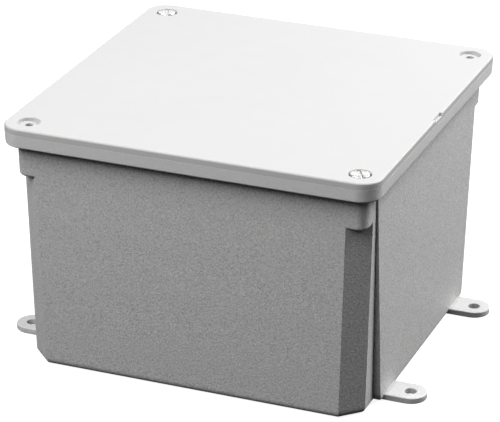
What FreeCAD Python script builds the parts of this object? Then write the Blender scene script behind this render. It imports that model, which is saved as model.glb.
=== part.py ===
import FreeCAD, Part
import math
import os

import Sketcher

# Square moulded junction box with a screwed cover and four mounting feet.
# Millimetres, +Z up. The origin is the middle of the underside, the front is -Y.

doc = FreeCAD.newDocument("junction_box")

DIMENSIONS = {
    # cover and flange
    "cover_width": 167.0,
    "cover_corner": 9.2,
    "cover_thickness": 2.8,
    "cover_top_round": 0.8,
    "seam_gap": 0.1,
    "plug_depth": 2.2,
    "plug_clearance": 0.7,
    "flange_top": 108.5,
    "flange_thickness": 5.8,
    "flange_draft": 0.25,
    "flange_round": 0.8,
    # walls, narrower at the base than under the flange
    "wall_width_top": 156.5,
    "wall_width_base": 151.4,
    "wall_thickness": 4.8,
    "floor_thickness": 4.8,
    "base_round": 3.0,
    "corner_chamfer": 8.7,
    "cavity_corner": 19.0,
    "cavity_floor_round": 3.0,
    # solid corner blocks that carry the cover screws
    "boss_height": 14.9,
    "boss_corner": 4.5,
    "boss_round": 1.5,
    # raised panels on the two sides that carry the feet; they stand plumb while the walls lean
    "panel_width": 157.8,
    "panel_depth_top": 133.1,
    "panel_depth_base": 111.9,
    "panel_base_round": 2.9,
    "panel_round": 0.5,
    # mounting feet
    "foot_spacing_x": 176.8,
    "foot_spacing_y": 89.6,
    "foot_radius": 7.1,
    "foot_thickness": 2.7,
    "foot_hole_radius": 2.6,
    # cover screws (0.138 in thread, 32 to the inch) and what they go through
    "screw_offset": 73.4,
    "screw_hole_radius": 1.85,
    "counterbore_radius": 4.75,
    "counterbore_depth": 1.5,
    "seal_radius": 4.6,
    "seal_bore_radius": 1.8,
    "seal_thickness": 0.4,
    "head_radius": 4.1,
    "head_height": 1.3,
    "head_round": 0.3,
    "slot_width": 1.2,
    "slot_depth": 0.7,
    "thread_radius": 1.75,
    "shank_length": 12.7,
    "tip_chamfer": 0.5,
    "slot_turn_front_right": 30.0,
    "slot_turn_rear_left": 24.0,
    # brass inserts in the corner blocks
    "insert_radius": 2.6,
    "insert_waist_radius": 2.4,
    "insert_bore_radius": 1.8,
    "insert_length": 12.7,
    "insert_waist_height": 3.0,
    "insert_recess": 0.3,
    # gasket in a groove under the cover
    "gasket_middle": 76.5,
    "gasket_corner": 25.0,
    "gasket_half_width": 1.1,
    "gasket_proud": 0.05,
    "groove_depth": 0.8,
    # notch in the cover's right edge for prising it up
    "notch_length": 9.1,
    "notch_depth": 1.2,
    "notch_drop": 1.5,
    "notch_middle": 2.5,
}

sheet = doc.addObject("Spreadsheet::Sheet", "Sizes")
for row, (alias, number) in enumerate(DIMENSIONS.items(), start=1):
    sheet.set(f"A{row}", alias)
    sheet.set(f"B{row}", str(number))
    sheet.setAlias(f"B{row}", alias)
doc.recompute()

# Levels and half widths used by more than one piece, as expressions on the sheet
FLANGE_TOP = "Sizes.flange_top"
FLANGE_BOTTOM = "(Sizes.flange_top - Sizes.flange_thickness)"
BOSS_BOTTOM = "(Sizes.flange_top - Sizes.flange_thickness - Sizes.boss_height)"
COVER_BOTTOM = "(Sizes.flange_top + Sizes.seam_gap)"
COVER_TOP = "(Sizes.flange_top + Sizes.seam_gap + Sizes.cover_thickness)"
COUNTERBORE_FLOOR = f"({COVER_TOP} - Sizes.counterbore_depth)"
HEAD_BOTTOM = f"({COUNTERBORE_FLOOR} + Sizes.seal_thickness)"
COVER_HALF = "(Sizes.cover_width / 2)"
WALL_HALF_TOP = "(Sizes.wall_width_top / 2)"
WALL_HALF_BASE = "(Sizes.wall_width_base / 2)"
WALL_HALF_BOSS = (f"({WALL_HALF_TOP} - (Sizes.wall_width_top - Sizes.wall_width_base) / 2"
                  f" * Sizes.boss_height / {FLANGE_BOTTOM})")
CAVITY_HALF_TOP = f"({WALL_HALF_TOP} - Sizes.wall_thickness)"
CAVITY_HALF_BASE = f"({WALL_HALF_BASE} - Sizes.wall_thickness)"
SCREW_AT = "Sizes.screw_offset"

SEARCH_GAP = 0.01    # how near an edge has to be to the place where it is looked for
QUARTER_TURN = math.pi / 2
CORNERS = {"front_left": (-1, -1), "front_right": (1, -1), "rear_left": (-1, 1), "rear_right": (1, 1)}
SCREWED_CORNERS = ("front_right", "rear_left")

HORIZONTAL_AXIS, VERTICAL_AXIS, ORIGIN_POINT = -1, -2, (-1, 1)
START, END, CENTRE = 1, 2, 3


def size(expression):
    """The number that an expression on the sheet gives."""
    return float(sheet.evalExpression(expression.replace("Sizes.", "")))


# ---------------------------------------------------------------- sketches

def origin_plane(body, role):
    for item in body.Origin.OriginFeatures:
        if item.Role == role:
            return item
    raise ValueError(role)


def new_body(label):
    body = doc.addObject("PartDesign::Body", label)
    body.Label = label
    return body


def new_sketch(body, name, level="0", plane="XY_Plane"):
    """A sketch on one of the body's own origin planes, lifted to a level."""
    sketch = body.newObject("Sketcher::SketchObject", name)
    sketch.AttachmentSupport = [(origin_plane(body, plane), "")]
    sketch.MapMode = "FlatFace"
    sketch.setExpression("AttachmentOffset.Base.z", level)
    return sketch


def drive(sketch, name, constraint, expression):
    """Add a dimension and bind it to the sheet."""
    index = sketch.addConstraint(constraint)
    sketch.renameConstraint(index, name)
    sketch.setExpression(f"Constraints.{name}", expression)


def point(x, y):
    return FreeCAD.Vector(x, y, 0)


def place_point(sketch, name, geometry, position, x, y, side=(1, 1)):
    """Dimension a point from the sketch's origin, in the quadrant that side names."""
    for axis, expression, sign in (("X", x, side[0]), ("Y", y, side[1])):
        ends = (*ORIGIN_POINT, geometry, position) if sign > 0 else (geometry, position, *ORIGIN_POINT)
        drive(sketch, f"{name}_{axis.lower()}",
              Sketcher.Constraint(f"Distance{axis}", *ends, size(expression)), expression)


def add_rectangle(sketch, name, half_x, half_y, radius=None):
    """A rectangle centred on the sketch's origin, with round corners where a radius is given."""
    hx, hy = size(half_x), size(half_y)
    r = size(radius) if radius else 0.0
    first = sketch.GeometryCount
    runs = [((-hx + r, -hy), (hx - r, -hy)), ((hx, -hy + r), (hx, hy - r)),
            ((hx - r, hy), (-hx + r, hy)), ((-hx, hy - r), (-hx, -hy + r))]
    for start, end in runs:
        sketch.addGeometry(Part.LineSegment(point(*start), point(*end)), False)
    for corner in range(4):
        line, following = first + corner, first + (corner + 1) % 4
        if not radius:
            sketch.addConstraint(Sketcher.Constraint("Coincident", line, END, following, START))
            continue
        side_x, side_y = ((1, -1), (1, 1), (-1, 1), (-1, -1))[corner]
        centre = point(side_x * (hx - r), side_y * (hy - r))
        circle = Part.Circle(centre, FreeCAD.Vector(0, 0, 1), r)
        start = (corner - 1) * QUARTER_TURN
        arc = sketch.addGeometry(Part.ArcOfCircle(circle, start, start + QUARTER_TURN), False)
        sketch.addConstraint(Sketcher.Constraint("Tangent", line, END, arc, START))
        sketch.addConstraint(Sketcher.Constraint("Tangent", arc, END, following, START))
        if corner == 0:
            first_arc = arc
        else:
            sketch.addConstraint(Sketcher.Constraint("Equal", first_arc, arc))
    sketch.addConstraint(Sketcher.Constraint("Symmetric", first, START, first, END, VERTICAL_AXIS))
    sketch.addConstraint(Sketcher.Constraint("Symmetric", first + 1, START, first + 1, END, HORIZONTAL_AXIS))
    sketch.addConstraint(Sketcher.Constraint("Horizontal", first + 2))
    sketch.addConstraint(Sketcher.Constraint("Vertical", first + 3))
    drive(sketch, f"{name}_half_x",
          Sketcher.Constraint("DistanceX", *ORIGIN_POINT, first + 1, START, hx), half_x)
    drive(sketch, f"{name}_half_y",
          Sketcher.Constraint("DistanceY", first, START, *ORIGIN_POINT, hy), half_y)
    if radius:
        drive(sketch, f"{name}_radius", Sketcher.Constraint("Radius", first_arc, r), radius)


def add_circle(sketch, name, x, y, radius, side=(1, 1)):
    centre = point(side[0] * size(x), side[1] * size(y))
    circle = sketch.addGeometry(Part.Circle(centre, FreeCAD.Vector(0, 0, 1), size(radius)), False)
    place_point(sketch, name, circle, CENTRE, x, y, side)
    drive(sketch, f"{name}_radius", Sketcher.Constraint("Radius", circle, size(radius)), radius)


def add_tongue_pair(sketch, name, half_x, y, radius, side_y):
    """A bar across the sketch with a half-round end past each side."""
    hx, r = size(half_x), size(radius)
    middle = side_y * size(y)
    axis = FreeCAD.Vector(0, 0, 1)
    low = sketch.addGeometry(Part.LineSegment(point(-hx, middle - r), point(hx, middle - r)), False)
    high = sketch.addGeometry(Part.LineSegment(point(hx, middle + r), point(-hx, middle + r)), False)
    right = sketch.addGeometry(
        Part.ArcOfCircle(Part.Circle(point(hx, middle), axis, r), -QUARTER_TURN, QUARTER_TURN), False)
    left = sketch.addGeometry(
        Part.ArcOfCircle(Part.Circle(point(-hx, middle), axis, r), QUARTER_TURN, 3 * QUARTER_TURN), False)
    for one, one_end, other, other_end in ((low, END, right, START), (right, END, high, START),
                                           (high, END, left, START), (left, END, low, START)):
        sketch.addConstraint(Sketcher.Constraint("Tangent", one, one_end, other, other_end))
    sketch.addConstraint(Sketcher.Constraint("Symmetric", left, CENTRE, right, CENTRE, VERTICAL_AXIS))
    place_point(sketch, name, right, CENTRE, half_x, y, (1, side_y))
    drive(sketch, f"{name}_radius", Sketcher.Constraint("Radius", right, r), radius)


# ---------------------------------------------------------------- features

def add_block(body, name, levels, base_half, top_half, cut=False):
    """A block, or a hollow, with flat drafted sides; base_half and top_half are its half sizes (x, y)."""
    kind = "PartDesign::SubtractiveWedge" if cut else "PartDesign::AdditiveWedge"
    block = body.newObject(kind, name)
    block.AttachmentSupport = [(origin_plane(body, "XY_Plane"), "")]
    block.MapMode = "FlatFace"
    # a wedge narrows along its own Y, which is turned up here
    block.AttachmentOffset = FreeCAD.Placement(FreeCAD.Vector(), FreeCAD.Rotation(FreeCAD.Vector(1, 0, 0), 90))
    block.setExpression("AttachmentOffset.Base.z", levels[0])
    block.setExpression("Ymin", "0")
    block.setExpression("Ymax", f"{levels[1]} - {levels[0]}")
    for prefix, (half_x, half_y) in (("", base_half), ("2", top_half)):
        for axis, half in (("X", half_x), ("Z", half_y)):
            block.setExpression(f"{axis}{prefix}min", f"-({half})")
            block.setExpression(f"{axis}{prefix}max", half)
    doc.recompute()
    return block


def add_pad(body, name, sketch, length):
    pad = body.newObject("PartDesign::Pad", name)
    pad.Profile = sketch
    pad.setExpression("Length", length)
    doc.recompute()
    return pad


def add_pocket(body, name, sketch, length):
    """A pocket below its sketch; the solid has to get smaller."""
    before = body.Shape.Volume
    pocket = body.newObject("PartDesign::Pocket", name)
    pocket.Profile = sketch
    pocket.setExpression("Length", length)
    doc.recompute()
    if body.Shape.Volume >= before:
        raise RuntimeError(f"{name} cuts nothing")
    return pocket


def dress(body, kind, name, base, size_property, expression, chosen):
    """A fillet or chamfer on the edges that chosen(edge) picks."""
    edges = [f"Edge{number}" for number, edge in enumerate(base.Shape.Edges, start=1) if chosen(edge)]
    if not edges:
        raise RuntimeError(f"{name} finds no edge")
    feature = body.newObject(kind, name)
    feature.Base = (base, edges)
    feature.setExpression(size_property, expression)
    doc.recompute()
    return feature


def fillet(body, name, base, radius, chosen):
    return dress(body, "PartDesign::Fillet", name, base, "Radius", radius, chosen)


def lies_at(level):
    """A test for edges that lie flat at a level."""
    height = size(level)
    return lambda edge: (abs(edge.BoundBox.ZMin - height) < SEARCH_GAP
                         and abs(edge.BoundBox.ZMax - height) < SEARCH_GAP)


def rises(low, high):
    """A test for edges that run from one level to another."""
    bottom, top = size(low), size(high)
    return lambda edge: (abs(edge.BoundBox.ZMin - bottom) < SEARCH_GAP
                         and abs(edge.BoundBox.ZMax - top) < SEARCH_GAP)


def reach(edge):
    """How far from the middle of the box the edge's middle is, along X or Y."""
    middle = edge.BoundBox.Center
    return max(abs(middle.x), abs(middle.y))


def outermost(edge, half_width):
    """Whether the edge's middle is at a side's outer face."""
    return abs(edge.BoundBox.Center.x) > half_width - SEARCH_GAP


# ---------------------------------------------------------------- box body

def make_box_body():
    body = new_body("box_body")
    walls = add_block(body, "walls", ("0", FLANGE_BOTTOM), (WALL_HALF_BASE, WALL_HALF_BASE),
                      (WALL_HALF_TOP, WALL_HALF_TOP))
    chamfered = dress(body, "PartDesign::Chamfer", "corner_chamfers", walls, "Size",
                      "Sizes.corner_chamfer", rises("0", FLANGE_BOTTOM))
    fillet(body, "base_rounding", chamfered, "Sizes.base_round", lies_at("0"))
    add_corner_bosses(body)
    add_side_panels(body)
    add_feet(body)
    add_flange(body)
    add_cavity(body)
    bore_centre = new_sketch(body, "insert_bore_centre", FLANGE_TOP)
    add_circle(bore_centre, "bore", SCREW_AT, SCREW_AT, "Sizes.insert_radius")
    bore = add_pocket(body, "insert_bore", bore_centre, "Sizes.insert_length + Sizes.insert_recess")
    four_ways(body, "insert_bores", bore)
    return body


def add_corner_bosses(body):
    """Fill the chamfered corners out to round ones under the flange."""
    bosses = add_block(body, "corner_bosses", (BOSS_BOTTOM, FLANGE_BOTTOM),
                       (WALL_HALF_BOSS, WALL_HALF_BOSS), (WALL_HALF_TOP, WALL_HALF_TOP))
    rounded = fillet(body, "boss_rounding", bosses, "Sizes.boss_corner", rises(BOSS_BOTTOM, FLANGE_BOTTOM))
    # the bosses' outer edges, past the lines where their undersides meet the chamfers
    outside = size(f"{WALL_HALF_BOSS} - (Sizes.boss_corner + Sizes.corner_chamfer) / 4")
    underside = lies_at(BOSS_BOTTOM)
    fillet(body, "boss_base_rounding", rounded, "Sizes.boss_round",
           lambda edge: underside(edge) and reach(edge) > outside)


def add_side_panels(body):
    """One wide block through the box makes the raised panels of both sides."""
    panel_half = "Sizes.panel_width / 2"
    panels = add_block(body, "side_panels", ("0", FLANGE_BOTTOM), (panel_half, "Sizes.panel_depth_base / 2"),
                       (panel_half, "Sizes.panel_depth_top / 2"))
    # the bottom edges that stand out past the walls' own rounding
    low_edge, clear_of_walls = lies_at("0"), size(f"{WALL_HALF_BASE} - Sizes.base_round")
    rounded = fillet(body, "panel_base_rounding", panels, "Sizes.panel_base_round",
                     lambda edge: low_edge(edge) and abs(edge.BoundBox.Center.x) > clear_of_walls)
    upright = rises("Sizes.panel_base_round", FLANGE_BOTTOM)
    fillet(body, "panel_rounding", rounded, "Sizes.panel_round",
           lambda edge: upright(edge) and outermost(edge, size(panel_half)))


def add_feet(body):
    outline = new_sketch(body, "feet_outline")
    for name, side_y in (("front", -1), ("rear", 1)):
        add_tongue_pair(outline, name, "Sizes.foot_spacing_x / 2", "Sizes.foot_spacing_y / 2",
                        "Sizes.foot_radius", side_y)
    add_pad(body, "feet", outline, "Sizes.foot_thickness")
    holes = new_sketch(body, "foot_hole_centres", "Sizes.foot_thickness")
    for corner, side in CORNERS.items():
        add_circle(holes, corner, "Sizes.foot_spacing_x / 2", "Sizes.foot_spacing_y / 2",
                   "Sizes.foot_hole_radius", side)
    add_pocket(body, "foot_holes", holes, "Sizes.foot_thickness")


def add_flange(body):
    under_half = f"{COVER_HALF} - Sizes.flange_draft"
    flange = add_block(body, "flange", (FLANGE_BOTTOM, FLANGE_TOP), (under_half, under_half),
                       (COVER_HALF, COVER_HALF))
    corners = fillet(body, "flange_corners", flange, "Sizes.cover_corner", rises(FLANGE_BOTTOM, FLANGE_TOP))
    outside = size(WALL_HALF_TOP) + size("Sizes.flange_round")
    underside = lies_at(FLANGE_BOTTOM)
    fillet(body, "flange_rounding", corners, "Sizes.flange_round",
           lambda edge: underside(edge) and reach(edge) > outside)


def add_cavity(body):
    cavity = add_block(body, "cavity", ("Sizes.floor_thickness", FLANGE_TOP),
                       (CAVITY_HALF_BASE, CAVITY_HALF_BASE), (CAVITY_HALF_TOP, CAVITY_HALF_TOP), cut=True)
    corners = fillet(body, "cavity_corners", cavity, "Sizes.cavity_corner",
                     rises("Sizes.floor_thickness", FLANGE_TOP))
    fillet(body, "cavity_floor_rounding", corners, "Sizes.cavity_floor_round",
           lies_at("Sizes.floor_thickness"))


def four_ways(body, name, feature):
    """Repeat a feature at the four corners."""
    pattern = body.newObject("PartDesign::PolarPattern", name)
    pattern.Originals = [feature]
    pattern.Axis = (origin_plane(body, "Z_Axis"), [""])
    pattern.Angle = 360
    pattern.Occurrences = len(CORNERS)
    body.Tip = pattern
    doc.recompute()
    return pattern


# ---------------------------------------------------------------- cover and gasket

def make_cover():
    body = new_body("cover")
    outline = new_sketch(body, "plate_outline", COVER_BOTTOM)
    add_rectangle(outline, "outline", COVER_HALF, COVER_HALF, "Sizes.cover_corner")
    plate = add_pad(body, "plate", outline, "Sizes.cover_thickness")
    fillet(body, "top_rounding", plate, "Sizes.cover_top_round", lies_at(COVER_TOP))
    plug_half = f"({CAVITY_HALF_TOP} - Sizes.plug_clearance)"
    plug_outline = new_sketch(body, "plug_outline", f"({COVER_BOTTOM} - Sizes.plug_depth)")
    add_rectangle(plug_outline, "outline", plug_half, plug_half,
                  "Sizes.cavity_corner - Sizes.plug_clearance")
    add_pad(body, "plug", plug_outline, "Sizes.plug_depth")
    groove = new_sketch(body, "groove_outline", f"({COVER_BOTTOM} + Sizes.groove_depth)")
    add_gasket_outlines(groove)
    add_pocket(body, "gasket_groove", groove, "Sizes.groove_depth")
    hole_centre = new_sketch(body, "screw_hole_centre", COVER_TOP)
    add_circle(hole_centre, "hole", SCREW_AT, SCREW_AT, "Sizes.screw_hole_radius")
    hole = add_pocket(body, "screw_hole", hole_centre, "Sizes.cover_thickness")
    four_ways(body, "screw_holes", hole)
    counterbore_centre = new_sketch(body, "counterbore_centre", COVER_TOP)
    add_circle(counterbore_centre, "counterbore", SCREW_AT, SCREW_AT, "Sizes.counterbore_radius")
    counterbore = add_pocket(body, "counterbore", counterbore_centre, "Sizes.counterbore_depth")
    four_ways(body, "counterbores", counterbore)
    front_end = "(Sizes.notch_middle + Sizes.notch_length / 2)"
    notch = new_sketch(body, "notch_outline", front_end, "XZ_Plane")
    add_notch(notch)
    add_pocket(body, "prise_notch", notch, "Sizes.notch_length")
    return body


def add_notch(sketch):
    """A rectangle across the right edge, open at the side and above."""
    inner, outer = f"({COVER_HALF} - Sizes.notch_depth)", f"({COVER_HALF} + Sizes.notch_depth)"
    floor, top = f"({COVER_TOP} - Sizes.notch_drop)", COVER_TOP
    corners = [(inner, floor), (outer, floor), (outer, top), (inner, top)]
    places = [point(size(x), size(z)) for x, z in corners]
    for start, end in zip(places, places[1:] + places[:1]):
        sketch.addGeometry(Part.LineSegment(start, end), False)
    for number, (x, z) in enumerate(corners):
        sketch.addConstraint(Sketcher.Constraint("Coincident", number, START, (number - 1) % 4, END))
        place_point(sketch, f"corner_{number}", number, START, x, z)


def add_gasket_outlines(sketch):
    """The outer and inner edges of the gasket, a constant width apart."""
    for name, sign in (("outer", "+"), ("inner", "-")):
        half = f"(Sizes.gasket_middle {sign} Sizes.gasket_half_width)"
        add_rectangle(sketch, name, half, half, f"(Sizes.gasket_corner {sign} Sizes.gasket_half_width)")


def make_cover_gasket():
    body = new_body("cover_gasket")
    outline = new_sketch(body, "ring_outline", f"({COVER_BOTTOM} - Sizes.gasket_proud)")
    add_gasket_outlines(outline)
    add_pad(body, "ring", outline, "Sizes.groove_depth + Sizes.gasket_proud")
    return body


# ---------------------------------------------------------------- screws, seals and inserts

def put_at_corner(piece, corner, level):
    """Stand a piece on the axis of a cover screw."""
    side_x, side_y = CORNERS[corner]
    piece.setExpression("Placement.Base.x", f"{side_x} * {SCREW_AT}")
    piece.setExpression("Placement.Base.y", f"{side_y} * {SCREW_AT}")
    piece.setExpression("Placement.Base.z", level)


def cylinder(name, radius, height, level="0"):
    piece = doc.addObject("Part::Cylinder", name)
    piece.setExpression("Radius", radius)
    piece.setExpression("Height", height)
    piece.setExpression("Placement.Base.z", level)
    return piece


def combine(kind, label, base, tool):
    piece = doc.addObject(kind, label)
    piece.Base = base
    piece.Tool = tool
    piece.Label = label
    return piece


def make_cover_screw(corner):
    """Slotted cheese-head screw; its thread is a plain cylinder of the thread's outer size."""
    body = new_body(f"cover_screw_{corner}")
    head_outline = new_sketch(body, "head_outline")
    add_circle(head_outline, "head", "0", "0", "Sizes.head_radius")
    head = add_pad(body, "head", head_outline, "Sizes.head_height")
    fillet(body, "head_rounding", head, "Sizes.head_round", lies_at("Sizes.head_height"))
    shank_outline = new_sketch(body, "shank_outline", "-Sizes.shank_length")
    add_circle(shank_outline, "shank", "0", "0", "Sizes.thread_radius")
    shank = add_pad(body, "shank", shank_outline, "Sizes.shank_length")
    dress(body, "PartDesign::Chamfer", "tip", shank, "Size", "Sizes.tip_chamfer",
          lies_at("-Sizes.shank_length"))
    slot_outline = new_sketch(body, "slot_outline", "Sizes.head_height")
    slot_outline.AttachmentOffset = FreeCAD.Placement(
        FreeCAD.Vector(0, 0, size("Sizes.head_height")), FreeCAD.Rotation(FreeCAD.Vector(0, 0, 1), 1))
    slot_outline.setExpression("AttachmentOffset.Rotation.Angle", f"Sizes.slot_turn_{corner}")
    add_rectangle(slot_outline, "slot", "Sizes.slot_width / 2", "Sizes.head_radius + Sizes.slot_width")
    add_pocket(body, "slot", slot_outline, "Sizes.slot_depth")
    put_at_corner(body, corner, HEAD_BOTTOM)
    return body


def make_screw_seal(corner):
    """Flat rubber ring between the screw's head and the floor of its counterbore."""
    ring = cylinder(f"seal_disc_{corner}", "Sizes.seal_radius", "Sizes.seal_thickness")
    bore = cylinder(f"seal_bore_{corner}", "Sizes.seal_bore_radius", "Sizes.seal_thickness")
    seal = combine("Part::Cut", f"screw_seal_{corner}", ring, bore)
    put_at_corner(seal, corner, COUNTERBORE_FLOOR)
    return seal


def make_insert(corner):
    """Brass bush with a waist that the plastic grips; its thread is a plain bore."""
    end_height = "(Sizes.insert_length - Sizes.insert_waist_height) / 2"
    lower = cylinder(f"insert_lower_{corner}", "Sizes.insert_radius", end_height)
    waist = cylinder(f"insert_waist_{corner}", "Sizes.insert_waist_radius", "Sizes.insert_waist_height",
                     end_height)
    upper = cylinder(f"insert_upper_{corner}", "Sizes.insert_radius", end_height,
                     "(Sizes.insert_length + Sizes.insert_waist_height) / 2")
    outside = doc.addObject("Part::MultiFuse", f"insert_outside_{corner}")
    outside.Shapes = [lower, waist, upper]
    bore = cylinder(f"insert_bore_{corner}", "Sizes.insert_bore_radius", "Sizes.insert_length")
    insert = combine("Part::Cut", f"insert_{corner}", outside, bore)
    put_at_corner(insert, corner, f"{FLANGE_TOP} - Sizes.insert_recess - Sizes.insert_length")
    return insert


# ---------------------------------------------------------------- assembly

pieces = [make_box_body(), make_cover(), make_cover_gasket()]
for screwed in SCREWED_CORNERS:
    pieces.append(make_screw_seal(screwed))
    pieces.append(make_cover_screw(screwed))
for threaded in CORNERS:
    pieces.append(make_insert(threaded))
doc.recompute()

for item in doc.Objects:
    if "Invalid" in item.State or "Error" in item.State:
        raise RuntimeError(f"{item.Label} did not recompute: {item.State}")
for piece in pieces:
    if piece.Shape.isNull() or not piece.Shape.isValid() or len(piece.Shape.Solids) != 1:
        raise RuntimeError(f"{piece.Label} is not one valid solid")

os.makedirs("parts", exist_ok=True)
for piece in pieces:
    piece.Shape.exportStep(f"parts/{piece.Label}.step")
    print(f"{piece.Label}: {piece.Shape.Volume:.1f} mm3, {piece.Shape.BoundBox}")
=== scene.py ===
import math

import bmesh
import bpy
from mathutils import Matrix, Vector


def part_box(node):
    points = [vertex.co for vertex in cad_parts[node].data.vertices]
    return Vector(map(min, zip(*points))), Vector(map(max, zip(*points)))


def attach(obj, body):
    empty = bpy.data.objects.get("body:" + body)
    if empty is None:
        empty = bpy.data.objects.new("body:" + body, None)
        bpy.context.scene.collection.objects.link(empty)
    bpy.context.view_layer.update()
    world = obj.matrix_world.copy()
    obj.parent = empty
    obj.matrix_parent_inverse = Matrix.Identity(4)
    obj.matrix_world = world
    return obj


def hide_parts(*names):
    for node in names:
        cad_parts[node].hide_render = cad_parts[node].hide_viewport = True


# Looks of a square moulded junction box. Metres, in the CAD frame: +Z up, the front wall is -Y.

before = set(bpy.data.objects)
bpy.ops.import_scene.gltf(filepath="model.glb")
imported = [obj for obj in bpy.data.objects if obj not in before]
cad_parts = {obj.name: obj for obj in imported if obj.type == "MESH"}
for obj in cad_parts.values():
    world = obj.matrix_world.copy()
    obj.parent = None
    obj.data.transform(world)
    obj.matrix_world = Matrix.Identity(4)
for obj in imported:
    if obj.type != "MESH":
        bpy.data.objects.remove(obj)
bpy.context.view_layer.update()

MM = 0.001
FULL_TURN = 2 * math.pi
QUARTER_TURN = math.pi / 2
CORNER_STEPS = 18
CORNERS = {"front_left": (-1, -1), "front_right": (1, -1), "rear_left": (-1, 1), "rear_right": (1, 1)}
SCREWED_CORNERS = ("front_right", "rear_left")

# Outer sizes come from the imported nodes; sizes that their boxes don't show repeat those of the CAD part
BODY_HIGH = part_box("box_body")[1]
COVER_LOW, COVER_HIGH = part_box("cover")
GASKET_LOW, GASKET_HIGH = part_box("cover_gasket")
SCREW_LOW, SCREW_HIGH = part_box("cover_screw_front_right")
COVER_HALF = COVER_HIGH.x
COVER_TOP = COVER_HIGH.z
FLANGE_TOP = BODY_HIGH.z
FOOT_REACH = BODY_HIGH.x
SEAM_GAP = 0.1 * MM
COVER_BOTTOM = FLANGE_TOP + SEAM_GAP
FLANGE_BOTTOM = FLANGE_TOP - 5.8 * MM
BOSS_BOTTOM = FLANGE_BOTTOM - 14.9 * MM
FLOOR_TOP = 4.8 * MM
COVER_CORNER = 9.2 * MM
CAVITY_CORNER = 19 * MM
WALL_THICKNESS = 4.8 * MM
WALL_HALF_BASE = 75.7 * MM
WALL_HALF_TOP = 78.25 * MM
BASE_ROUND = 3 * MM
WALL_CHAMFER = 8.7 * MM
PANEL_OUTER = 78.9 * MM
PANEL_DEPTH_BASE = 55.95 * MM
PANEL_DEPTH_TOP = 66.55 * MM
BOSS_CORNER = 4.5 * MM
FLANGE_DRAFT = 0.25 * MM
SEAM_ROUND = 0.06 * MM

# Cover, gasket and screw sizes
SCREW_OFFSET = (SCREW_LOW.x + SCREW_HIGH.x) / 2
SCREW_HOLE_RADIUS = 1.85 * MM
COUNTERBORE_RADIUS = 4.75 * MM
COUNTERBORE_DEPTH = 1.5 * MM
PLUG_CLEARANCE = 0.7 * MM
GASKET_HALF_WIDTH = 1.1 * MM
GASKET_CORNER = 25 * MM
GASKET_MIDDLE = GASKET_HIGH.x - GASKET_HALF_WIDTH
INSERT_RADIUS = 2.6 * MM
INSERT_WAIST_RADIUS = 2.4 * MM
INSERT_POCKET_DEPTH = 13 * MM
HEAD_HEIGHT = 1.3 * MM
THREAD_PITCH = 0.79375 * MM
SLOT_TURNS = {"front_right": 30, "rear_left": 24}


# ---------------------------------------------------------------- outlines and closed meshes

def outline(half, corner, setback=None, panel=None, chamfer=False):
    """Points round a square, anticlockwise from the front-right corner.

    Each corner is round, or cut flat. setback is where the corner's first and last points lie. panel is
    the outer face and half depth of the raised panel of the right and left sides.
    """
    setback = setback or corner + MM
    low = Vector((half - setback, -half))
    high = Vector((half, -half + setback))
    if chamfer:
        run = [low.lerp(high, step / (CORNER_STEPS + 2)) for step in range(CORNER_STEPS + 3)]
    else:
        centre = Vector((half - corner, -half + corner))
        turns = [QUARTER_TURN * step / CORNER_STEPS for step in range(CORNER_STEPS + 1)]
        arc = [centre + corner * Vector((math.sin(turn), -math.cos(turn))) for turn in turns]
        run = [low, *arc, high]
    outer, depth = panel or (half, 30 * MM)
    root = 0.2 * MM if panel is None else 0
    side = [Vector((half, -depth - root)), Vector((outer, -depth + root)),
            Vector((outer, depth - root)), Vector((half, depth + root))]
    plain = [Vector((half, place * MM)) for place in (-30.2, -29.8, 29.8, 30.2)]
    points = []
    for quarter in range(4):
        turn = Matrix.Rotation(quarter * QUARTER_TURN, 2)
        points += [turn @ point for point in run + (plain if quarter % 2 else side)]
    return points


def lifted(points, level):
    return [Vector((point.x, point.y, level)) for point in points]


def quarter_round(radius, steps=6):
    """Inset and rise of each step of a round edge, from its flat side to its upright one."""
    turns = [QUARTER_TURN * step / steps for step in range(steps + 1)]
    return [(radius * (1 - math.sin(turn)), radius * (1 - math.cos(turn))) for turn in turns]


def new_piece(name, mesh):
    piece = bpy.data.objects.new(name, mesh)
    bpy.context.scene.collection.objects.link(piece)
    return piece


def from_rings(name, rings, looped=False):
    """A closed solid through rings of equal length, capped at both ends or joined end to end."""
    work = bmesh.new()
    rows = [[work.verts.new(point) for point in ring] for ring in rings]
    count = len(rows[0])
    pairs = list(zip(rows, rows[1:] + rows[:1])) if looped else list(zip(rows, rows[1:]))
    for lower, upper in pairs:
        for step in range(count):
            following = (step + 1) % count
            work.faces.new((lower[step], lower[following], upper[following], upper[step]))
    if not looped:
        work.faces.new(list(reversed(rows[0])))
        work.faces.new(rows[-1])
    bmesh.ops.remove_doubles(work, verts=work.verts, dist=0.0005 * MM)
    bmesh.ops.dissolve_degenerate(work, edges=work.edges, dist=0.0005 * MM)
    bmesh.ops.recalc_face_normals(work, faces=work.faces)
    mesh = bpy.data.meshes.new(name)
    work.to_mesh(mesh)
    work.free()
    return new_piece(name, mesh)


def circle_ring(centre, radius, level, count):
    turns = [FULL_TURN * step / count for step in range(count)]
    return [Vector((centre[0] + radius * math.cos(turn), centre[1] + radius * math.sin(turn), level))
            for turn in turns]


def turned(name, profile, centre=(0, 0), count=48):
    """A solid turned about an upright axis from (radius, level) points, from its bottom to its top."""
    return from_rings(name, [circle_ring(centre, radius, level, count) for radius, level in profile])


def apply_modifiers(piece):
    depsgraph = bpy.context.evaluated_depsgraph_get()
    mesh = bpy.data.meshes.new_from_object(piece.evaluated_get(depsgraph), depsgraph=depsgraph)
    piece.modifiers.clear()
    piece.data = mesh
    return piece


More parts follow.
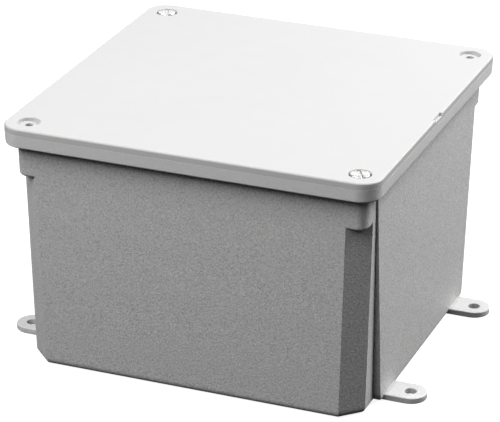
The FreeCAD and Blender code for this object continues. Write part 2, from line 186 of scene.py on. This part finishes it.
def bevel_edges(piece, width, angle=25):
    """Round every edge sharper than an angle in degrees."""
    bevel = piece.modifiers.new("edges", "BEVEL")
    bevel.width = width
    bevel.segments = 3
    bevel.limit_method = "ANGLE"
    bevel.angle_limit = math.radians(angle)
    bevel.miter_outer = "MITER_ARC"
    return apply_modifiers(piece)


def carve(piece, tools, operation="DIFFERENCE"):
    """Cut the tools out of a piece, or add them to it, and drop them."""
    for tool in tools:
        step = piece.modifiers.new("carve", "BOOLEAN")
        step.operation = operation
        step.solver = "EXACT"
        step.object = tool
        apply_modifiers(piece)
        bpy.data.objects.remove(tool)
    return piece


def smooth(piece, angle=32):
    """Smooth shading that keeps edges sharper than an angle in degrees crisp."""
    piece.data.shade_smooth()
    piece.data.set_sharp_from_angle(angle=math.radians(angle))
    weighted = piece.modifiers.new("normals", "WEIGHTED_NORMAL")
    weighted.keep_sharp = True
    weighted.weight = 80
    return piece


# ---------------------------------------------------------------- box body

def wall_half(level):
    return WALL_HALF_BASE + (WALL_HALF_TOP - WALL_HALF_BASE) * level / FLANGE_BOTTOM


def panel_depth(level):
    return PANEL_DEPTH_BASE + (PANEL_DEPTH_TOP - PANEL_DEPTH_BASE) * level / FLANGE_BOTTOM


def panel_tuck(level):
    """How far a panel's front and rear edges have drawn in near the base."""
    rise, reach = 6 * MM, 4.1 * MM
    low = max(0.0, 1 - level / rise)
    return reach * (1 - math.sqrt(1 - low * low))


def wall_ring(level, inset=0.0):
    """The walls' outline at a level, with cut corners and the two raised panels."""
    # a chamfer's legs shorten as the outline shrinks
    legs = WALL_CHAMFER - inset * (2 - math.sqrt(2))
    panel = (PANEL_OUTER - inset, panel_depth(level) - panel_tuck(level))
    return lifted(outline(wall_half(level) - inset, 0, legs, panel, chamfer=True), level)


def make_boss(side_x, side_y):
    """The solid block under one corner of the flange; its own inner corner is inside the walls."""
    rings = []
    sections = [(inset, BOSS_BOTTOM + rise) for inset, rise in quarter_round(1.5 * MM)]
    sections.append((0.0, FLANGE_BOTTOM + MM))
    for inset, level in sections:
        outer = wall_half(min(level, FLANGE_BOTTOM)) - inset
        inner = outer - WALL_CHAMFER - 0.5 * MM + 2 * inset
        radius = BOSS_CORNER - inset
        centre = outer - radius
        arc = [QUARTER_TURN * step / CORNER_STEPS for step in range(CORNER_STEPS + 1)]
        places = [(inner, inner), (outer, inner)]
        places += [(centre + radius * math.cos(turn), centre + radius * math.sin(turn)) for turn in arc]
        places.append((inner, outer))
        rings.append([Vector((side_x * x, side_y * y, level)) for x, y in places])
    return from_rings(f"boss_{side_x}_{side_y}", rings)


def flange_rings():
    low_half = COVER_HALF - FLANGE_DRAFT
    rings = [lifted(outline(low_half - inset, COVER_CORNER - inset), FLANGE_BOTTOM + rise)
             for inset, rise in quarter_round(0.8 * MM)]
    rings += [lifted(outline(COVER_HALF - inset, COVER_CORNER - inset), FLANGE_TOP - rise)
              for inset, rise in reversed(quarter_round(SEAM_ROUND, 2))]
    return rings


def cavity_rings():
    top_half = WALL_HALF_TOP - WALL_THICKNESS
    base_half = WALL_HALF_BASE - WALL_THICKNESS
    rim = [lifted(outline(top_half + inset, CAVITY_CORNER + inset), FLANGE_TOP - rise)
           for inset, rise in quarter_round(0.5 * MM, 3)]
    floor = [lifted(outline(base_half - inset, CAVITY_CORNER - inset), FLOOR_TOP + rise)
             for inset, rise in reversed(quarter_round(BASE_ROUND))]
    return rim + floor


def make_foot(side_x, side_y):
    """A tongue with a half-round end and a hole through it; its root is inside the floor."""
    radius, thickness, hole_radius = 7.1 * MM, 2.7 * MM, 2.6 * MM
    centre_x, centre_y = FOOT_REACH - radius, 44.8 * MM
    root = centre_x - 72 * MM
    count = 64

    def tongue(size, level):
        points = []
        for step in range(count):
            turn = FULL_TURN * step / count
            along, across = math.cos(turn), math.sin(turn)
            if along < 0:
                stretch = min(root / -along, size / abs(across) if across else root / -along)
                points.append((along * stretch, across * stretch))
            else:
                points.append((along * size, across * size))
        return [Vector((side_x * (centre_x + x), side_y * centre_y + y, level)) for x, y in points]

    def hole(size, level):
        return [Vector((side_x * (centre_x + size * math.cos(FULL_TURN * step / count)),
                        side_y * centre_y + size * math.sin(FULL_TURN * step / count), level))
                for step in range(count)]

    edge = 0.45 * MM
    rings = [tongue(radius - inset, rise) for inset, rise in quarter_round(edge, 3)]
    rings += [tongue(radius - inset, thickness - rise) for inset, rise in reversed(quarter_round(edge, 3))]
    rings += [hole(hole_radius + inset, thickness - rise) for inset, rise in quarter_round(0.3 * MM, 2)]
    rings += [hole(hole_radius + inset, rise) for inset, rise in reversed(quarter_round(0.3 * MM, 2))]
    return from_rings(f"foot_{side_x}_{side_y}", rings, looped=True)


def make_body():
    rings = [wall_ring(rise, inset) for inset, rise in quarter_round(BASE_ROUND)]
    rings += [wall_ring(rise * MM) for rise in (4, 5, 6)]
    rings += [wall_ring(FLANGE_BOTTOM)] + flange_rings() + cavity_rings()
    body = bevel_edges(from_rings("body_shell", rings), 0.5 * MM)
    additions = [make(*corner) for make in (make_boss, make_foot) for corner in CORNERS.values()]
    carve(body, additions, "UNION")
    bores = []
    for side_x, side_y in CORNERS.values():
        profile = [(INSERT_RADIUS, FLANGE_TOP - INSERT_POCKET_DEPTH), (INSERT_RADIUS, FLANGE_TOP - 0.3 * MM),
                   (2.95 * MM, FLANGE_TOP + 0.05 * MM)]
        bores.append(turned("bore", profile, (side_x * SCREW_OFFSET, side_y * SCREW_OFFSET)))
    # ejector marks on the cavity's floor, and the sunk gate mark under it
    for side_x, side_y in CORNERS.values():
        marks = [(4 * MM, FLOOR_TOP - 0.15 * MM), (4.1 * MM, FLOOR_TOP + MM)]
        bores.append(turned("mark", marks, (side_x * 42 * MM, side_y * 42 * MM)))
    gate = [(6.6 * MM, -MM), (6.4 * MM, 0.7 * MM)]
    bores.append(turned("gate", gate))
    carve(body, bores)
    nub = turned("nub", [(1.9 * MM, 0.15 * MM), (2.1 * MM, 0.3 * MM), (2.2 * MM, MM)])
    carve(body, [nub], "UNION")
    return smooth(body)


# ---------------------------------------------------------------- cover

def gasket_outline(offset):
    """The gasket's line, moved outward by an offset."""
    return outline(GASKET_MIDDLE + offset, GASKET_CORNER + offset)


def cover_rings():
    plug_half = WALL_HALF_TOP - WALL_THICKNESS - PLUG_CLEARANCE
    plug_corner = CAVITY_CORNER - PLUG_CLEARANCE
    rings = [lifted(outline(plug_half - inset, plug_corner - inset), COVER_LOW.z + rise)
             for inset, rise in quarter_round(0.5 * MM, 4)]
    rings.append(lifted(outline(plug_half, plug_corner), COVER_BOTTOM))
    for offset, level in ((-GASKET_HALF_WIDTH, COVER_BOTTOM), (-GASKET_HALF_WIDTH, GASKET_HIGH.z),
                          (GASKET_HALF_WIDTH, GASKET_HIGH.z), (GASKET_HALF_WIDTH, COVER_BOTTOM)):
        rings.append(lifted(gasket_outline(offset), level))
    rings += [lifted(outline(COVER_HALF - inset, COVER_CORNER - inset), COVER_BOTTOM + rise)
              for inset, rise in quarter_round(SEAM_ROUND, 2)]
    rings += [lifted(outline(COVER_HALF - inset, COVER_CORNER - inset), COVER_TOP - rise)
              for inset, rise in reversed(quarter_round(0.8 * MM))]
    return rings


def make_cover():
    cover = from_rings("cover_plate", cover_rings())
    tools = []
    for side_x, side_y in CORNERS.values():
        seat = COVER_TOP - COUNTERBORE_DEPTH
        profile = [(2.15 * MM, COVER_BOTTOM - 0.05 * MM), (SCREW_HOLE_RADIUS, COVER_BOTTOM + 0.3 * MM),
                   (SCREW_HOLE_RADIUS, seat), (COUNTERBORE_RADIUS, seat),
                   (COUNTERBORE_RADIUS, COVER_TOP - 0.4 * MM),
                   (4.85 * MM, COVER_TOP - 0.15 * MM), (5.15 * MM, COVER_TOP + 0.02 * MM)]
        tools.append(turned("seat", profile, (side_x * SCREW_OFFSET, side_y * SCREW_OFFSET), 64))
    tools.append(make_notch_tool())
    # ejector marks on the underside
    for side_x, side_y in CORNERS.values():
        marks = [(3.6 * MM, COVER_LOW.z - MM), (3.5 * MM, COVER_LOW.z + 0.15 * MM)]
        tools.append(turned("mark", marks, (side_x * 45 * MM, side_y * 45 * MM)))
    carve(cover, tools)
    return smooth(cover)


def make_notch_tool():
    """The prising notch in the right edge, its walls leaning out a little."""
    inner, floor = COVER_HALF - 1.2 * MM, COVER_TOP - 1.5 * MM
    middle, half = -2.5 * MM, 4.55 * MM
    rings = []
    for ease, level in ((0.15 * MM, floor), (0.0, floor + 0.2 * MM), (0.0, COVER_TOP - 0.2 * MM),
                        (-0.25 * MM, COVER_TOP + 0.05 * MM)):
        places = [(inner + ease, middle - half + ease), (COVER_HALF + MM, middle - half + ease),
                  (COVER_HALF + MM, middle + half - ease), (inner + ease, middle + half - ease)]
        rings.append([Vector((x, y, level)) for x, y in places])
    return from_rings("notch", rings)


def make_gasket():
    """A die-cut foam strip in the cover's groove, its free corners pressed round."""
    width, low, high = GASKET_HALF_WIDTH - 0.02 * MM, GASKET_LOW.z, GASKET_HIGH.z - 0.01 * MM
    pressed = quarter_round(0.3 * MM, 3)
    profile = [(-width, high)] + [(-width + inset, low + rise) for inset, rise in reversed(pressed)]
    profile += [(width - inset, low + rise) for inset, rise in pressed] + [(width, high)]
    rings = [lifted(gasket_outline(offset), level) for offset, level in profile]
    return smooth(from_rings("gasket_strip", rings, looped=True), 60)


# ---------------------------------------------------------------- screws, seals and inserts

def keep_local_places(piece, centre):
    """Store each point's place from the piece's own axis, for the marks of turning."""
    places = piece.data.attributes.new("local_place", "FLOAT_VECTOR", "POINT")
    for vertex, item in zip(piece.data.vertices, places.data):
        item.vector = vertex.co - centre
    return piece


def thread_rings(centre, low, high, crest, root, count=40, steps_per_turn=8):
    """Rings up a right-handed thread between two levels; it fades out at both ends."""
    step_height = THREAD_PITCH / steps_per_turn
    steps = int((high - low) / step_height)
    rings = []
    for step in range(steps + 1):
        level = low + step * step_height
        fade = min(1.0, step / steps_per_turn, (steps - step) / steps_per_turn)
        ring = []
        for spoke in range(count):
            turn = FULL_TURN * spoke / count
            phase = (step / steps_per_turn - spoke / count) % 1
            flank = abs(2 * phase - 1)
            height = min(1.0, max(0.0, 1.25 * flank - 0.1))
            radius = crest + (root - crest) * (1 - height) * fade
            ring.append(Vector((centre.x + radius * math.cos(turn),
                                centre.y + radius * math.sin(turn), level)))
        rings.append(ring)
    return rings


def make_screw(corner):
    """A slotted cheese-head screw with a rolled thread."""
    low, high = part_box(f"cover_screw_{corner}")
    centre = Vector(((low.x + high.x) / 2, (low.y + high.y) / 2, high.z))
    head_radius = (high.x - low.x) / 2
    head_bottom = high.z - HEAD_HEIGHT
    crest, root = 1.75 * MM, 1.33 * MM
    tip = [(1.05 * MM, low.z), (1.32 * MM, low.z + 0.3 * MM)]
    rings = [circle_ring(centre, radius, level, 40) for radius, level in tip]
    rings += thread_rings(centre, low.z + 0.5 * MM, head_bottom - 0.9 * MM, crest, root)
    shoulder = [(1.65 * MM, head_bottom - 0.3 * MM), (1.75 * MM, head_bottom)]
    rings += [circle_ring(centre, radius, level, 40) for radius, level in shoulder]
    shank = from_rings(f"screw_shank_{corner}", rings)
    crown = 0.12 * MM
    profile = [(head_radius - 0.15 * MM, head_bottom), (head_radius, head_bottom + 0.15 * MM)]
    profile += [(head_radius - inset, high.z - crown - rise)
                for inset, rise in reversed(quarter_round(0.3 * MM))]
    profile += [(head_radius * reach, high.z - crown * reach * reach * 1.16)
                for reach in (0.75, 0.6, 0.4, 0.2, 0.05)]
    head = turned(f"screw_{corner}", profile, centre, 64)
    slot = make_slot_tool(corner, centre, high.z, head_radius)
    carve(head, [slot])
    carve(head, [shank], "UNION")
    return smooth(keep_local_places(head, centre), 28)


def make_slot_tool(corner, centre, top, reach):
    """The driver slot, with its rims eased."""
    turn = Matrix.Rotation(math.radians(SLOT_TURNS[corner]), 2)
    rings = []
    for half, level in ((0.5 * MM, top - 0.7 * MM), (0.6 * MM, top - 0.62 * MM), (0.6 * MM, top - 0.2 * MM),
                        (0.75 * MM, top + 0.02 * MM)):
        places = [(-half, -reach - MM), (half, -reach - MM), (half, reach + MM), (-half, reach + MM)]
        rings.append([Vector((*(turn @ Vector(place)), 0)) + Vector((centre.x, centre.y, level))
                      for place in places])
    return from_rings("slot", rings)


def ring_of(name, centre, profile, count=64):
    """A ring turned about an upright axis from a closed loop of (radius, level) points."""
    rings = [circle_ring(centre, radius, level, count) for radius, level in profile]
    return from_rings(name, rings, looped=True)


def make_seal(corner):
    low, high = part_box(f"screw_seal_{corner}")
    centre = (low + high) / 2
    outer, inner, edge = (high.x - low.x) / 2, 1.82 * MM, 0.12 * MM
    # a hair below the screw head that turns on it
    top = high.z - 0.01 * MM
    profile = [(inner, low.z + edge), (inner + edge, low.z), (outer - edge, low.z), (outer, low.z + edge),
               (outer, top - edge), (outer - edge, top), (inner + edge, top), (inner, top - edge)]
    return smooth(ring_of(f"seal_{corner}", centre, profile), 60)


def make_insert(corner):
    """A threaded brass bush with two knurled bands and a waist."""
    low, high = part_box(f"insert_{corner}")
    centre = Vector(((low.x + high.x) / 2, (low.y + high.y) / 2, high.z))
    outer = (high.x - low.x) / 2
    count = 80
    middle = (low.z + high.z) / 2
    # radius, level and whether knurled
    bands = [(outer - 0.3 * MM, low.z, False), (outer, low.z + 0.3 * MM, True),
             (outer, middle - 1.6 * MM, True), (INSERT_WAIST_RADIUS, middle - 1.5 * MM, False),
             (INSERT_WAIST_RADIUS, middle + 1.5 * MM, False), (outer, middle + 1.6 * MM, True),
             (outer, high.z - 0.3 * MM, True), (outer - 0.3 * MM, high.z, False)]
    rings = []
    for radius, level, knurled in bands:
        ring = []
        for spoke in range(count):
            turn = FULL_TURN * spoke / count
            reach = radius - (0.12 * MM if knurled and spoke % 2 else 0)
            ring.append(Vector((centre.x + reach * math.cos(turn),
                                centre.y + reach * math.sin(turn), level)))
        rings.append(ring)
    crest, root = 1.8 * MM, 2.05 * MM
    rings.append(circle_ring(centre, root, high.z, count))
    rings += reversed(thread_rings(centre, low.z + 0.3 * MM, high.z - 0.3 * MM, crest, root, count, 6))
    rings.append(circle_ring(centre, root, low.z, count))
    insert = from_rings(f"insert_bush_{corner}", rings, looped=True)
    return smooth(keep_local_places(insert, centre), 28)


# ---------------------------------------------------------------- materials

class Finish:
    """A material's node tree, built from a few kinds of step."""

    def __init__(self, name, metallic=0.0, ior=1.5):
        self.material = bpy.data.materials.new(name)
        self.material.use_nodes = True
        self.nodes = self.material.node_tree.nodes
        self.links = self.material.node_tree.links
        self.shader = self.nodes["Principled BSDF"]
        self.shader.inputs["Metallic"].default_value = metallic
        self.shader.inputs["IOR"].default_value = ior
        self.places = self.nodes.new("ShaderNodeTexCoord").outputs["Object"]
        self.normal = None

    def noise(self, per_metre, detail=3.0, roughness=0.55, stretch=None):
        texture = self.nodes.new("ShaderNodeTexNoise")
        texture.inputs["Scale"].default_value = per_metre
        texture.inputs["Detail"].default_value = detail
        texture.inputs["Roughness"].default_value = roughness
        self.links.new(self.stretched(stretch), texture.inputs["Vector"])
        return texture.outputs["Fac"]

    def cells(self, per_metre):
        texture = self.nodes.new("ShaderNodeTexVoronoi")
        texture.inputs["Scale"].default_value = per_metre
        self.links.new(self.places, texture.inputs["Vector"])
        return texture.outputs["Distance"]

    def stretched(self, stretch):
        if stretch is None:
            return self.places
        mapping = self.nodes.new("ShaderNodeMapping")
        mapping.inputs["Scale"].default_value = stretch
        self.links.new(self.places, mapping.inputs["Vector"])
        return mapping.outputs["Vector"]

    def spread(self, source, low, high, to_low, to_high):
        """Map a value from one range to another, clamped."""
        step = self.nodes.new("ShaderNodeMapRange")
        for name, value in (("From Min", low), ("From Max", high), ("To Min", to_low), ("To Max", to_high)):
            step.inputs[name].default_value = value
        self.links.new(source, step.inputs["Value"])
        return step.outputs["Result"]

    def combine(self, operation, first, second):
        step = self.nodes.new("ShaderNodeMath")
        step.operation = operation
        for socket, value in zip(step.inputs, (first, second)):
            if isinstance(value, float):
                socket.default_value = value
            else:
                self.links.new(value, socket)
        return step.outputs["Value"]

    def mix(self, amount, low, high):
        """Blend two colours, given or already made, by an amount."""
        step = self.nodes.new("ShaderNodeMix")
        step.data_type = "RGBA"
        self.links.new(amount, step.inputs["Factor"])
        for socket, value in ((step.inputs[6], low), (step.inputs[7], high)):
            if isinstance(value, tuple):
                socket.default_value = (*value, 1)
            else:
                self.links.new(value, socket)
        return step.outputs[2]

    def edges(self, low, high):
        """How far a place is on a worn outer edge."""
        geometry = self.nodes.new("ShaderNodeNewGeometry")
        return self.spread(geometry.outputs["Pointiness"], low, high, 0, 1)

    def bump(self, height, distance, strength=1.0):
        step = self.nodes.new("ShaderNodeBump")
        step.inputs["Distance"].default_value = distance
        step.inputs["Strength"].default_value = strength
        self.links.new(height, step.inputs["Height"])
        if self.normal:
            self.links.new(self.normal, step.inputs["Normal"])
        self.normal = step.outputs["Normal"]

    def finish(self, colour, roughness):
        self.links.new(colour, self.shader.inputs["Base Color"])
        self.links.new(roughness, self.shader.inputs["Roughness"])
        if self.normal:
            self.links.new(self.normal, self.shader.inputs["Normal"])
        return self.material


def moulded_plastic(name, base, grain_depth, speckle, rim, painted_band_levels):
    """Light grey PVC with a moulded grain, faint flow marks and light scuffs; the rim and feet carry a
    painted highlight.
    """
    finish = Finish(name)
    clouds = finish.spread(finish.noise(14, 3), 0.3, 0.7, 0, 1)
    colour = finish.mix(clouds, tuple(0.99 * part for part in base), tuple(1.01 * part for part in base))
    dark = finish.spread(finish.noise(1300, 2), 0.38, 0.52, speckle, 0)
    colour = finish.mix(dark, colour, tuple(0.7 * part for part in base))
    pale = finish.spread(finish.noise(1500, 2), 0.5, 0.64, 0, speckle)
    colour = finish.mix(pale, colour, tuple(1.25 * part for part in base))
    scuffs = finish.spread(finish.noise(60, 6, 0.7, (1, 6, 1)), 0.66, 0.8, 0, 0.25)
    colour = finish.mix(scuffs, colour, tuple(1.1 * part for part in base))
    places = finish.nodes.new("ShaderNodeSeparateXYZ")
    finish.links.new(finish.places, places.inputs["Vector"])
    # painted highlight: the band between the two levels (the flange, or the lid's edge) takes the paler rim
    # colour
    low, high = painted_band_levels
    above = finish.spread(places.outputs["Z"], low, low + 0.5 * MM, 0, 0.75)
    below = finish.spread(places.outputs["Z"], high - 0.3 * MM, high, 1, 0)
    colour = finish.mix(finish.combine("MULTIPLY", above, below), colour, rim)
    # painted highlight on the feet: low down, and further out than the walls, they take the paler rim colour
    from_middle = finish.combine("ABSOLUTE", places.outputs["X"], 0.0)
    painted_feet_light = finish.spread(from_middle, 79.5 * MM, 80.5 * MM, 0, 0.55)
    low_down = finish.spread(places.outputs["Z"], 2.8 * MM, 3.2 * MM, 1, 0)
    colour = finish.mix(finish.combine("MULTIPLY", painted_feet_light, low_down), colour, rim)
    pits = finish.combine("MULTIPLY", finish.cells(900), 0.5)
    grain = finish.combine("ADD", finish.noise(1100, 3, 0.6), pits)
    finish.bump(grain, grain_depth, 0.9)
    roughness = finish.spread(finish.noise(90, 4), 0.3, 0.7, 0.46, 0.56)
    return finish.finish(colour, roughness)


def closed_foam(name):
    finish = Finish(name)
    cells = finish.cells(2600)
    colour = finish.mix(finish.spread(cells, 0.1, 0.7, 0, 1), (0.012, 0.012, 0.013), (0.04, 0.04, 0.042))
    finish.bump(cells, 0.08 * MM, 0.9)
    finish.bump(finish.noise(300, 3), 0.1 * MM, 0.4)
    return finish.finish(colour, finish.spread(finish.noise(700, 2), 0.3, 0.7, 0.75, 0.95))


def smooth_rubber(name):
    finish = Finish(name)
    bloom = finish.spread(finish.noise(420, 4), 0.4, 0.7, 0, 1)
    colour = finish.mix(bloom, (0.012, 0.012, 0.012), (0.03, 0.03, 0.032))
    finish.bump(finish.noise(2200, 2), 0.03 * MM, 0.6)
    return finish.finish(colour, finish.spread(finish.noise(500, 3), 0.3, 0.7, 0.45, 0.65))


def turned_metal(name, base, worn, roughness_range):
    """Metal with the fine rings a lathe leaves, a little stain, and rubbed edges."""
    finish = Finish(name, metallic=1.0)
    place = finish.nodes.new("ShaderNodeAttribute")
    place.attribute_name = "local_place"
    flat = finish.nodes.new("ShaderNodeVectorMath")
    flat.operation = "MULTIPLY"
    flat.inputs[1].default_value = (1, 1, 0)
    finish.links.new(place.outputs["Vector"], flat.inputs[0])
    length = finish.nodes.new("ShaderNodeVectorMath")
    length.operation = "LENGTH"
    finish.links.new(flat.outputs["Vector"], length.inputs[0])
    # one ring every 0.12 mm of radius
    phase = finish.combine("MULTIPLY", length.outputs["Value"], 52000.0)
    rings = finish.combine("SINE", phase, 0.0)
    broken = finish.combine("MULTIPLY", rings, finish.noise(900, 3))
    stain = finish.spread(finish.noise(500, 5, 0.65), 0.4, 0.7, 0, 0.6)
    colour = finish.mix(stain, base, worn)
    colour = finish.mix(finish.edges(0.5, 0.6), colour, tuple(min(1, 1.2 * part) for part in base))
    finish.bump(broken, 0.012 * MM, 0.5)
    finish.bump(finish.noise(2600, 2), 0.012 * MM, 0.5)
    low, high = roughness_range
    return finish.finish(colour, finish.spread(finish.noise(800, 4), 0.3, 0.7, low, high))


def paint(piece, material):
    piece.data.materials.clear()
    piece.data.materials.append(material)
    return piece


def place(piece, body, node, slot_name, material):
    paint(piece, material)
    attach(piece, body)
    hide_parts(node)


# the paler rim colour and the two levels give the painted highlight on the box's flange and feet, and on the
# lid's edge
GRAINED = moulded_plastic("grained_pvc", (0.5, 0.5, 0.498), 0.11 * MM, 0.8, (0.63, 0.63, 0.627),
                          (FLANGE_BOTTOM, COVER_TOP))
SMOOTH = moulded_plastic("smooth_pvc", (0.455, 0.455, 0.454), 0.012 * MM, 0.06, (0.475, 0.475, 0.472),
                         (COVER_BOTTOM - MM, COVER_TOP - 0.1 * MM))
FOAM = closed_foam("gasket_foam")
RUBBER = smooth_rubber("seal_rubber")
STEEL = turned_metal("screw_steel", (0.86, 0.86, 0.85), (0.72, 0.71, 0.69), (0.16, 0.28))
BRASS = turned_metal("insert_brass", (0.6, 0.5, 0.34), (0.4, 0.33, 0.23), (0.3, 0.46))

place(make_body(), "box", "box_body", "pvc", GRAINED)
place(make_cover(), "lid", "cover", "pvc", SMOOTH)
place(make_gasket(), "lid", "cover_gasket", "gasket_foam", FOAM)
for corner in SCREWED_CORNERS:
    place(make_screw(corner), f"screw_{corner}", f"cover_screw_{corner}", "screw_steel", STEEL)
    place(make_seal(corner), f"screw_{corner}_seal", f"screw_seal_{corner}", "seal_rubber", RUBBER)
for corner in CORNERS:
    place(make_insert(corner), "box", f"insert_{corner}", "insert_brass", BRASS)


# ---------------------------------------------------------------- floor, light and camera

def make_floor():
    """A plain pale floor, seen from above only. It glows a little, and sends no light to the box."""
    reach = 3.0
    mesh = bpy.data.meshes.new("floor")
    mesh.from_pydata([(-reach, -reach, 0), (reach, -reach, 0), (reach, reach, 0), (-reach, reach, 0)],
                     [], [(0, 1, 2, 3)])
    floor = new_piece("floor", mesh)
    floor.location.z = -0.02 * MM
    floor.visible_diffuse = False
    floor.visible_glossy = False
    material = bpy.data.materials.new("floor_paper")
    material.use_nodes = True
    nodes, links = material.node_tree.nodes, material.node_tree.links
    shader = nodes["Principled BSDF"]
    shader.inputs["Roughness"].default_value = 0.9
    shader.inputs["Specular IOR Level"].default_value = 0.1
    grain = nodes.new("ShaderNodeTexNoise")
    grain.inputs["Scale"].default_value = 400
    tint = nodes.new("ShaderNodeMix")
    tint.data_type = "RGBA"
    tint.inputs[6].default_value = (0.28, 0.28, 0.28, 1)
    tint.inputs[7].default_value = (0.32, 0.32, 0.32, 1)
    shader.inputs["Emission Color"].default_value = (1, 1, 1, 1)
    shader.inputs["Emission Strength"].default_value = 0.88
    links.new(grain.outputs["Fac"], tint.inputs["Factor"])
    links.new(tint.outputs[2], shader.inputs["Base Color"])
    side = nodes.new("ShaderNodeNewGeometry")
    clear = nodes.new("ShaderNodeBsdfTransparent")
    chosen = nodes.new("ShaderNodeMixShader")
    links.new(side.outputs["Backfacing"], chosen.inputs["Fac"])
    links.new(shader.outputs["BSDF"], chosen.inputs[1])
    links.new(clear.outputs["BSDF"], chosen.inputs[2])
    links.new(chosen.outputs["Shader"], nodes["Material Output"].inputs["Surface"])
    floor.data.materials.append(material)


def direction(azimuth, elevation):
    """The direction towards a place seen from the object; azimuth 0 is the front, 90 the right."""
    turn, rise = math.radians(azimuth), math.radians(elevation)
    return Vector((math.sin(turn) * math.cos(rise), -math.cos(turn) * math.cos(rise), math.sin(rise)))


def softbox(name, azimuth, elevation, distance, width, height, watts):
    lamp = bpy.data.lights.new(name, "AREA")
    lamp.shape = "RECTANGLE"
    lamp.size, lamp.size_y = width, height
    lamp.energy = watts
    light = bpy.data.objects.new(name, lamp)
    bpy.context.scene.collection.objects.link(light)
    towards = direction(azimuth, elevation)
    light.location = Vector((0, 0, 0.06)) + towards * distance
    light.rotation_euler = towards.to_track_quat("Z", "Y").to_euler()
    return light


def make_world(level):
    world = bpy.data.worlds.new("studio")
    bpy.context.scene.world = world
    world.use_nodes = True
    nodes, links = world.node_tree.nodes, world.node_tree.links
    fill = nodes["Background"]
    fill.inputs["Color"].default_value = (1, 1, 1, 1)
    fill.inputs["Strength"].default_value = level
    backdrop = nodes.new("ShaderNodeBackground")
    backdrop.inputs["Color"].default_value = (1, 1, 1, 1)
    rays = nodes.new("ShaderNodeLightPath")
    chosen = nodes.new("ShaderNodeMixShader")
    links.new(rays.outputs["Is Camera Ray"], chosen.inputs["Fac"])
    links.new(fill.outputs["Background"], chosen.inputs[1])
    links.new(backdrop.outputs["Background"], chosen.inputs[2])
    links.new(chosen.outputs["Shader"], nodes["World Output"].inputs["Surface"])


def make_camera():
    data = bpy.data.cameras.new("camera")
    data.sensor_width = 36
    data.lens = 200.07
    camera = bpy.data.objects.new("camera", data)
    bpy.context.scene.collection.objects.link(camera)
    back = direction(21.3966, 23.768)
    camera.location = Vector((-0.176, -6.402, 55.459)) * MM + back * 1.217
    facing = (-back).to_track_quat("-Z", "Y")
    roll = Matrix.Rotation(math.radians(0.366), 3, "Z").to_quaternion()
    camera.rotation_euler = (facing @ roll).to_euler()
    data.clip_start, data.clip_end = 0.05, 20
    bpy.context.scene.camera = camera


make_floor()
make_world(0.03)
softbox("front_softbox", -22.5, 53, 1.1, 0.9, 0.9, 13.5)
softbox("right_softbox", 130, 44, 1.1, 0.6, 0.6, 17)
softbox("right_card", 130, 20, 1.1, 0.6, 0.6, 2.2)
softbox("rear_card", 200, 28, 1.1, 1.0, 0.5, 2)
softbox("left_card", -62, 30, 0.8, 0.4, 0.4, 1.4)
make_camera()
bpy.context.scene.view_settings.view_transform = "Standard"
